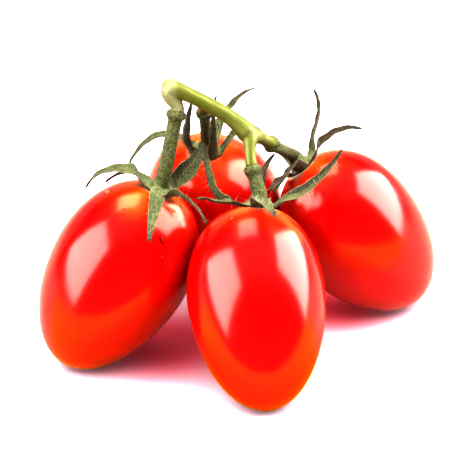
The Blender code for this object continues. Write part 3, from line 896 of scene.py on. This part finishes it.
def sepal_material():
    """Downy green blades with pale margins and midribs, browned where they are dry."""
    material, tree, shader = new_material("downy_green", {
        "Roughness": 0.72, "Sheen Weight": 0.15, "Sheen Roughness": 0.4,
        "Subsurface Weight": 0.08, "Subsurface Scale": 0.0008})
    place = object_place(tree)
    along, across, upper = attribute(tree, "blade")[1]
    dry, share, brown = attribute(tree, "state")[1]
    blotch = ease(tree, grain(tree, place, 500.0, 3.0), 0.35, 0.65)
    uneven = maths(tree, "SUBTRACT", blotch, 0.5)
    colour = green_colour(tree, place, blotch, along, across, share)
    age = times(tree, dry, ease(tree, along, 0.0, 0.9, 0.35, 1.4))
    aged = ease(tree, plus(tree, age, times(tree, uneven, 0.35)), 0.15, 0.8, 0.0, 0.95)
    colour = blend(tree, aged, colour, WITHERED)
    # One half of some blades is painted dark brown: painted shade on that side of the fold.
    side = ease(tree, plus(tree, brown, times(tree, uneven, 0.3)), 0.05, 0.35, 0.0, 0.85)
    colour = blend(tree, times(tree, side, ease(tree, along, 0.15, 0.40)), colour, PAINTED_HALF_SHADE)
    fresh = maths(tree, "SUBTRACT", 1.0, times(tree, aged, 0.7))
    margin = times(tree, ease(tree, across, 0.72, 0.98, 0.0, 0.8), fresh)
    colour = blend(tree, margin, colour, MARGIN)
    colour = blend(tree, ease(tree, along, 0.78, 0.97, 0.0, 0.9), colour, TIP)
    down = cells(tree, place, 3600.0)
    fresh = maths(tree, "SUBTRACT", 1.0, times(tree, aged, 0.6))
    colour = blend(tree, times(tree, ease(tree, down, 0.15, 0.45, 0.8, 0.0), fresh), colour, DOWN_DOT)
    pits = ease(tree, grain(tree, place, 1900.0, 2.0), 0.32, 0.50, 0.75, 0.0)
    colour = blend(tree, pits, colour, PIT)
    colour = blend(tree, ease(tree, upper, 0.3, 0.7, 0.15, 0.0), colour, UNDERSIDE)
    tree.links.new(colour, shader.inputs["Base Color"])
    bump(tree, shader, plus(tree, grain(tree, place, 2400.0, 3.0), down), 0.5, 0.00012)
    return material


# The stem: smooth tubes fused into one

Tube = namedtuple("Tube", "name centres frames radii lengths")


def stem_tube(name, points, widths, end_way=None):
    """A round length of stem, as its middle line with directions and radii."""
    path, places = smooth_path(points, TUBE_STEP)
    frames = carried_ways(path, unit(np.cross(path[1] - path[0], OFF_AXIS)), end_way)
    radii = np.interp(places, [far for far, _ in widths], [wide for _, wide in widths]) / 2.0
    return Tube(name, path, frames, radii, places)


def branch(name, course, widths):
    """A side branch from the main stem down to its knuckle, which it meets square."""
    way = knuckle_way(name)
    knuckle = np.array(STALKS[name].knuckle)
    course = list(course) + [knuckle + BRANCH_STRAIGHT * way, knuckle - BRANCH_SINK * way]
    total = smooth_path(course, TUBE_STEP)[1][-1]
    above = STALKS[name].above
    widths = widths + [(total - 1.2, above), (total, above * 1.05)]
    return stem_tube(name, course, widths, end_way=-way)


def stem_tubes():
    """The main stem and its four side branches."""
    elbow = np.array(ELBOW)
    fork = np.array(FORK)
    main = stem_tube("main", [CUT_END, (-15.3, 19.5, 66.3), ELBOW, (-12.3, 15.6, 66.6), STEM_MIDDLE,
                              (-0.8, 14.2, 60.2), FORK],
                     [(0.0, STEM_WIDTH), (6.0, STEM_WIDTH), (9.5, ELBOW_WIDTH), (13.0, 3.7),
                      (17.0, STEM_WIDTH), (26.0, 3.6), (29.0, 4.3), (31.0, FORK_WIDTH), (32.0, 3.4)])
    left = branch("left", [elbow + (1.0, 0.2, 0.1), (-15.8, 15.9, 67.0), (-15.3, 15.5, 65.2)],
                  [(0.0, 3.0), (1.5, ELBOW_WIDTH), (3.5, 3.8), (5.0, 3.1)])
    front = branch("front", [fork + (0.0, 0.6, 0.4), (3.1, 12.0, 56.0), (3.1, 10.6, 54.4)],
                   [(0.0, 4.0), (2.0, 3.7), (4.5, 2.7)])
    right = branch("right", [fork + (-0.5, -0.4, 0.2), (4.4, 14.2, 56.0), (6.2, 15.8, 54.6)],
                   [(0.0, 4.2), (2.5, 3.9), (4.5, 3.0)])
    back = branch("back", [BACK_JOIN, (-8.6, 18.0, 63.5), (-8.2, 20.6, 61.6)],
                  [(0.0, 3.2), (2.5, 3.1), (5.0, 2.6)])
    return [main, left, front, right, back]


def tube_mesh(tubes):
    """Closed tubes in millimetres, in one mesh that is still to be fused."""
    points = []
    faces = []
    angles = [2.0 * math.pi * side / TUBE_SIDES for side in range(TUBE_SIDES)]
    for tube in tubes:
        rows = []
        for centre, frame, radius, far in zip(tube.centres, tube.frames, tube.radii, tube.lengths):
            rows.append(list(range(len(points), len(points) + TUBE_SIDES)))
            for angle in angles:
                ridge = 1.0 + 0.018 * math.cos(5.0 * angle + 0.1 * far) + 0.012 * math.cos(3.0 * angle)
                around = math.cos(angle) * frame[1] + math.sin(angle) * frame[2]
                points.append(centre + radius * ridge * around)
        faces.append(tuple(reversed(rows[0])))
        for before, after in zip(rows, rows[1:]):
            faces += band(before, after)
        faces.append(tuple(rows[-1]))
    mesh = bpy.data.meshes.new("stem_tubes")
    mesh.from_pydata([tuple(p) for p in points], [], faces)
    mesh.update()
    return mesh


def run_of(tubes, points):
    """For each point of the fused stem: the way round its tube, how far along, and 1 on the left branch."""
    centres, radii, lengths = (np.concatenate([getattr(tube, part) for tube in tubes])
                               for part in ("centres", "radii", "lengths"))
    normals, acrosses = (np.concatenate([[frame[part] for frame in tube.frames] for tube in tubes])
                         for part in (1, 2))
    left = np.concatenate([np.full(len(tube.centres), float(tube.name == "left")) for tube in tubes])
    gap = np.linalg.norm(points[:, None, :] - centres[None, :, :], axis=2) - radii[None, :]
    nearest = gap.argmin(axis=1)
    outward = points - centres[nearest]
    x = np.einsum("ij,ij->i", outward, normals[nearest])
    y = np.einsum("ij,ij->i", outward, acrosses[nearest])
    size = np.maximum(np.hypot(x, y), 1e-6)
    return np.stack([x / size, y / size, lengths[nearest]], axis=1), left[nearest]


def make_stem(material):
    """The whole stem above the knuckles, fused, smoothed and slightly knobbly."""
    tubes = stem_tubes()
    piece = bpy.data.objects.new("green_stem", tube_mesh(tubes))
    bpy.context.scene.collection.objects.link(piece)
    fused = piece.modifiers.new("fuse", "REMESH")
    fused.mode = "VOXEL"
    fused.voxel_size = STEM_GRAIN
    soften = piece.modifiers.new("soften", "SMOOTH")
    soften.factor = 0.5
    soften.iterations = 12
    settle(piece)
    points = np.array([vertex.co[:] for vertex in piece.data.vertices])
    normals = np.array([vertex.normal[:] for vertex in piece.data.vertices])
    knobs = np.array([noise.noise(Vector(point) * 0.55) for point in points])
    points = points + KNOB_HEIGHT * knobs[:, None] * normals
    move_points(piece.data, points)
    run, left = run_of(tubes, points)
    store(piece.data, "run", run)
    elbow = smoothstep((PALE_ELBOW[0] - points[:, 0]) / 1.4)
    elbow = elbow * smoothstep((PALE_ELBOW[1] - points[:, 1]) / 1.5)
    fork = smoothstep((4.0 - np.linalg.norm(points - np.array(FORK), axis=1)) / 2.5)
    store(piece.data, "pale", np.max([left * smoothstep(run[:, 2] / 2.0), 0.8 * elbow, 0.15 * fork], axis=0))
    store(piece.data, "cut", smoothstep(2.2 - np.linalg.norm(points - np.array(CUT_END), axis=1)))
    return dress(piece, material, ["stem"])


# Colours of the stem
STEM_DARK = (0.108, 0.118, 0.009)
STEM_LIGHT = (0.140, 0.150, 0.030)
STEM_BLOTCH = (0.15, 0.150, 0.050)
STEM_PALE = (0.25, 0.235, 0.14)
STEM_SPECK = (0.05, 0.022, 0.008)
STEM_CUT = (0.10, 0.08, 0.035)


def stem_material():
    """Smooth yellow-green stem with a pale specked length at the left knuckle and a browned cut."""
    material, tree, shader = new_material("green_stem", {
        "Roughness": 0.42, "Subsurface Weight": 0.1, "Subsurface Scale": 0.001})
    place = object_place(tree)
    round_x, round_y, far = attribute(tree, "run")[1]
    pale = attribute(tree, "pale")[0]
    cut = attribute(tree, "cut")[0]
    streak_place = combine(tree, round_x, round_y, times(tree, far, 0.06))
    streaks = ease(tree, grain(tree, streak_place, 3.0, 3.0), 0.35, 0.65)
    blotch = ease(tree, grain(tree, place, 260.0, 2.0), 0.3, 0.7)
    colour = blend(tree, streaks, STEM_DARK, STEM_LIGHT)
    colour = blend(tree, times(tree, blotch, 0.5), colour, STEM_BLOTCH)
    colour = blend(tree, times(tree, pale, 0.85), colour, STEM_PALE)
    speck = times(tree, ease(tree, cells(tree, place, 1500.0), 0.10, 0.22, 0.8, 0.0), plus(tree, pale, 0.12))
    colour = blend(tree, speck, colour, STEM_SPECK)
    colour = blend(tree, times(tree, cut, 0.8), colour, STEM_CUT)
    tree.links.new(colour, shader.inputs["Base Color"])
    relief = plus(tree, grain(tree, streak_place, 6.0, 3.0), grain(tree, place, 1800.0, 2.0))
    bump(tree, shader, relief, 0.35, 0.00012)
    return material


# Hairs, grown on a surface by Geometry Nodes

# Hair, in metres: how many to a square metre, their length and thickness, how much their sizes
# differ, how far they lean (in radians) and how much they bend
Hair = namedtuple("Hair", "density length thickness spread lean curve")
SHORT_HAIR = Hair(4.2e6, 0.00036, 0.000032, 0.35, 0.6, 700.0)
LONG_HAIR = Hair(1.1e6, 0.0018, 0.000048, 0.4, 0.5, 150.0)
STEM_HAIR = Hair(1.6e6, 0.00028, 0.000026, 0.35, 0.6, 800.0)
DOWN_COLOUR = (0.19, 0.20, 0.12)
LONG_HAIR_COLOUR = (0.48, 0.47, 0.40)
HAIR_INPUTS = [(label.capitalize(), "NodeSocketFloat") for label in Hair._fields]
HAIR_INPUTS += [("Seed", "NodeSocketInt"), ("Finish", "NodeSocketMaterial")]


def hair_tree():
    """A tree that scatters small bent hairs on a mesh where its stored value, downy, lets them grow."""
    tree = bpy.data.node_groups.new("hairs", "GeometryNodeTree")
    tree.interface.new_socket("Geometry", in_out="INPUT", socket_type="NodeSocketGeometry")
    for label, kind in HAIR_INPUTS:
        tree.interface.new_socket(label, in_out="INPUT", socket_type=kind)
    tree.interface.new_socket("Geometry", in_out="OUTPUT", socket_type="NodeSocketGeometry")
    given = tree.nodes.new("NodeGroupInput").outputs
    downy = add(tree, "GeometryNodeInputNamedAttribute", {"Name": "downy"}, data_type="FLOAT").outputs[0]
    roots = add(tree, "GeometryNodeDistributePointsOnFaces",
                {"Mesh": given["Geometry"], "Density": times(tree, given["Density"], downy),
                 "Seed": given["Seed"]}).outputs
    cone = add(tree, "GeometryNodeMeshCone",
               {"Vertices": 3, "Side Segments": 3, "Radius Top": 0.0,
                "Radius Bottom": given["Thickness"], "Depth": given["Length"]})
    height = parts(tree, tree.nodes.new("GeometryNodeInputPosition").outputs[0])[2]
    bend = combine(tree, times(tree, times(tree, height, height), given["Curve"]))
    hair = add(tree, "GeometryNodeSetPosition", {"Geometry": cone.outputs["Mesh"], "Offset": bend})
    least = times(tree, given["Lean"], -1.0)
    lean = add(tree, "FunctionNodeRandomValue",
               {0: combine(tree, least, least, -math.pi),
                1: combine(tree, given["Lean"], given["Lean"], math.pi),
                "Seed": given["Seed"]}, data_type="FLOAT_VECTOR").outputs[0]
    turned = add(tree, "FunctionNodeEulerToRotation", {0: lean}).outputs[0]
    rotation = add(tree, "FunctionNodeRotateRotation", {"Rotation": roots["Rotation"], "Rotate By": turned},
                   rotation_space="LOCAL").outputs[0]
    size = add(tree, "FunctionNodeRandomValue",
               {2: maths(tree, "SUBTRACT", 1.0, given["Spread"]), 3: plus(tree, 1.0, given["Spread"]),
                "Seed": given["Seed"]}, data_type="FLOAT").outputs[1]
    grown = add(tree, "GeometryNodeInstanceOnPoints",
                {"Points": roots["Points"], "Instance": hair.outputs[0],
                 "Rotation": rotation, "Scale": size})
    real = add(tree, "GeometryNodeRealizeInstances", {0: grown.outputs[0]})
    finished = add(tree, "GeometryNodeSetMaterial",
                   {"Geometry": real.outputs[0], "Material": given["Finish"]})
    add(tree, "NodeGroupOutput", {"Geometry": finished.outputs[0]})
    return tree


def grow_hairs(name, surface, downy, tree, hair, seed, material):
    """Hairs on a finished piece, more of them where downy is higher, as a plain mesh of their own."""
    mesh = surface.data.copy()
    store(mesh, "downy", downy)
    piece = bpy.data.objects.new(name, mesh)
    bpy.context.scene.collection.objects.link(piece)
    grower = piece.modifiers.new("hairs", "NODES")
    grower.node_group = tree
    known = {item.name: item.identifier for item in tree.interface.items_tree if item.in_out == "INPUT"}
    for label, value in {**hair._asdict(), "seed": seed, "finish": material}.items():
        grower[known[label.capitalize()]] = value
    settle(piece)
    return dress(piece, material)


def hair_material(name, colour):
    """Pale, slightly see-through hair."""
    material, tree, shader = new_material(name, {
        "Roughness": 0.45, "Subsurface Weight": 0.2, "Subsurface Scale": 0.0003})
    tone = grain(tree, object_place(tree), 1500.0, 1.0)
    darker = tuple(0.7 * part for part in colour)
    tree.links.new(blend(tree, tone, colour, darker), shader.inputs["Base Color"])
    return material


def read(mesh, label):
    """The vectors stored on a mesh's points."""
    values = np.zeros(len(mesh.vertices) * 3, np.float32)
    mesh.attributes[label].data.foreach_get("vector", values)
    return values.reshape(-1, 3)


def grow_all_hairs(calyxes, stem):
    """Short down on every green part, and longer hairs on the sepals' margins."""
    tree = hair_tree()
    down = hair_material("down", DOWN_COLOUR)
    long_hair = hair_material("long_hair", LONG_HAIR_COLOUR)
    fewer = 1.0
    short, stem_short = (hair._replace(density=hair.density * fewer) for hair in (SHORT_HAIR, STEM_HAIR))
    for number, (name, calyx) in enumerate(calyxes.items()):
        blade = read(calyx.data, "blade")
        everywhere = np.ones(len(blade))
        margins = 0.06 + smoothstep((blade[:, 1] - 0.75) / 0.2)
        grow_hairs("down_" + name, calyx, everywhere, tree, short, 11 + number, down)
        grow_hairs("long_hairs_" + name, calyx, margins, tree, LONG_HAIR, 31 + number, long_hair)
    everywhere = np.ones(len(stem.data.vertices))
    grow_hairs("down_stem", stem, everywhere, tree, stem_short, 51, down)


# The table, the light and the camera

WARM = (1.0, 0.98, 0.92)    # what the skins mirror is a little warmer than the light
FLOOR_SIZE = 8.0
SEEN_TABLE = (0.61, 0.595, 0.64)
TABLE_GLOW = 0.36       # the table glows with a painted light that eases the shadows
MIRROR_GLOW = (2.3, 1.4)        # and the painted glow of its mirrored copy, in front of the truss and behind it
MIRROR_FADE = (0.034, 0.070)    # which starts so far from the middle, and is full so far out
# Painted red bounce light: the table's colour turns red between the fruits, where their shadows fall: where,
# how far, and its colour there
PAINTED_RED_BOUNCES = [
    ((-0.018, -0.002, 0.0), 0.030, (0.40, 0.10, 0.13)),
    ((0.024, 0.018, 0.0), 0.020, (0.62, 0.15, 0.19)),
]
MIRRORED_FRONT = (0.86, 0.80, 0.01)     # painted reflection: the skins mirror a yellow table in front of the truss
MIRRORED_BACK = (0.86, 0.80, 0.66)
MIRRORED_SPLIT = (-0.025, -0.005)       # where along Y the one turns into the other
MIRRORED_DEPTH = 0.0001                 # under the table top
MIRRORED_CORNERS = [(-0.125, -0.072), (0.115, -0.072), (4.0, 0.5), (4.0, 4.0), (-4.0, 4.0), (-4.0, 0.5)]

# Softboxes: the azimuth (0 is the camera's side and 90 the right), how far off and how high, the
# width and height, the roll, and how bright they are in the skins' mirror and as light
Softbox = namedtuple("Softbox", "azimuth distance height size roll shine glow")
SOFTBOXES = {
    "left_box": Softbox(-68.0, 0.5, 0.31, (0.56, 0.55), -25.0, 44.0, 24.0),
    "right_box": Softbox(95.0, 0.5, 0.45, (0.62, 0.75), 25.0, 50.0, 26.0),
    "backdrop": Softbox(180.0, 1.4, 0.45, (5.0, 0.9), 0.0, 4.0, 4.0),
}
# Panels overhead that face down: place, width, depth, and the same two
OVERHEAD = {
    "top_panel": ((-0.115, 0.19, 0.55), 0.29, 0.375, 26.0, 2.0),
    "sky": ((0.0, -0.1, 0.8), 1.4, 1.4, 0.0, 26.0),
}
ROOM_LIGHT = 0.6
VIEW_GAMMA = 0.5        # the picture is bright and high in contrast, as the photograph is


def table_plane(name, corners, depth):
    """A level plane for the table, with the shader and the tree of its material."""
    mesh = bpy.data.meshes.new(name)
    mesh.from_pydata([(x, y, -depth) for x, y in corners], [], [tuple(range(len(corners)))])
    plane = bpy.data.objects.new(name, mesh)
    bpy.context.scene.collection.objects.link(plane)
    material, tree, shader = new_material(name, {"Roughness": 0.9, "Specular IOR Level": 0.1})
    mesh.materials.append(material)
    plane.visible_shadow = False
    return plane, tree, shader


def paint_table(tree, shader, colour):
    """Gives a table its colour, by which it also glows with a painted light."""
    tree.links.new(colour, shader.inputs["Base Color"])
    tree.links.new(colour, shader.inputs["Emission Color"])


def make_floor():
    """The table top, with painted red bounce between the fruits and a painted glow, and a smaller glowing
    one just under it that only the mirror of a skin meets: a painted reflection.
    """
    half = FLOOR_SIZE / 2.0
    corners = [(-half, -half), (half, -half), (half, half), (-half, half)]
    seen, tree, shader = table_plane("table_top", corners, 0.0)
    place = object_place(tree)
    colour = SEEN_TABLE
    # painted red bounce light in the shadows between the fruits
    for centre, reach, painted_bounce in PAINTED_RED_BOUNCES:
        away = vectors(tree, "DISTANCE", place, centre)
        colour = blend(tree, ease(tree, away, 0.2 * reach, reach, 1.0, 0.0), colour, painted_bounce)
    paint_table(tree, shader, colour)
    shader.inputs["Emission Strength"].default_value = TABLE_GLOW
    seen.visible_glossy = False
    # a glowing copy of the table that only the skins' reflections see: painted reflection, yellow in front
    mirrored, tree, shader = table_plane("painted_reflection_table", MIRRORED_CORNERS, MIRRORED_DEPTH)
    place = object_place(tree)
    behind = ease(tree, parts(tree, place)[1], *MIRRORED_SPLIT)
    paint_table(tree, shader, blend(tree, behind, MIRRORED_FRONT, MIRRORED_BACK))
    away = vectors(tree, "LENGTH", place)
    glow = times(tree, ease(tree, behind, 0.0, 1.0, *MIRROR_GLOW), ease(tree, away, *MIRROR_FADE))
    tree.links.new(glow, shader.inputs["Emission Strength"])
    mirrored.visible_camera = False
    mirrored.visible_diffuse = False


def panel(name, place, way, roll, width, height, shine, glow):
    """A soft light that faces along a way: shine is what the skins mirror, glow is what lights them."""
    for kind, brightness in (("shine", shine), ("glow", glow)):
        light = bpy.data.lights.new(name + "_" + kind, "AREA")
        light.shape = "RECTANGLE"
        light.size = width
        light.size_y = height
        light.energy = brightness * width * height
        light.color = WARM if kind == "shine" else (1.0, 1.0, 1.0)
        lamp = bpy.data.objects.new(light.name, light)
        bpy.context.scene.collection.objects.link(lamp)
        lamp.location = place
        lamp.rotation_euler = (way.to_track_quat("-Z", "Y") @ Quaternion((0.0, 0.0, 1.0), roll)).to_euler()
        lamp.visible_camera = False
        lamp.visible_diffuse = kind == "glow"
        lamp.visible_glossy = kind == "shine"


def softbox(name, box):
    """An upright panel that faces the middle of the truss."""
    turn = math.radians(box.azimuth)
    way = Vector((-math.sin(turn), math.cos(turn), 0.0))
    place = -box.distance * way + Vector((0.0, 0.0, box.height))
    panel(name, place, way, math.radians(box.roll), *box.size, box.shine, box.glow)


def make_light():
    """The softboxes, the panels overhead, and a soft light from all round that no skin mirrors."""
    for name, box in SOFTBOXES.items():
        softbox(name, box)
    for name, (place, width, depth, shine, glow) in OVERHEAD.items():
        panel(name, place, Vector((0.0, 0.0, -1.0)), 0.0, width, depth, shine, glow)
    world = bpy.data.worlds.new("studio")
    world.use_nodes = True
    world.node_tree.nodes["Background"].inputs["Color"].default_value = (1.0, 1.0, 1.0, 1.0)
    world.node_tree.nodes["Background"].inputs["Strength"].default_value = ROOM_LIGHT
    bpy.context.scene.world = world
    world.cycles_visibility.glossy = False
    view = bpy.context.scene.view_settings
    view.view_transform = "Standard"
    view.look = "None"
    view.exposure = 0.0
    view.gamma = VIEW_GAMMA


def make_camera():
    """The camera at the photograph's viewing angle."""
    data = bpy.data.cameras.new("camera")
    data.lens = CAMERA_LENS
    data.sensor_width = SENSOR
    camera = bpy.data.objects.new("camera", data)
    bpy.context.scene.collection.objects.link(camera)
    rise = math.radians(CAMERA_ELEVATION)
    back = Vector((0.0, -math.cos(rise), math.sin(rise)))
    camera.location = (Vector(CAMERA_TARGET) + back * CAMERA_DISTANCE) * MM
    camera.rotation_euler = back.to_track_quat("Z", "Y").to_euler()
    data.clip_start = 0.01
    data.clip_end = 50.0
    bpy.context.scene.camera = camera


def main():
    """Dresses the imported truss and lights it."""
    skin = skin_material()
    for name in FRUITS:
        make_fruit(name, skin)
    green = sepal_material()
    calyxes = {name: make_calyx(name, green) for name in STALKS}
    stem = make_stem(stem_material())
    grow_all_hairs(calyxes, stem)
    make_floor()
    make_light()
    make_camera()


main()
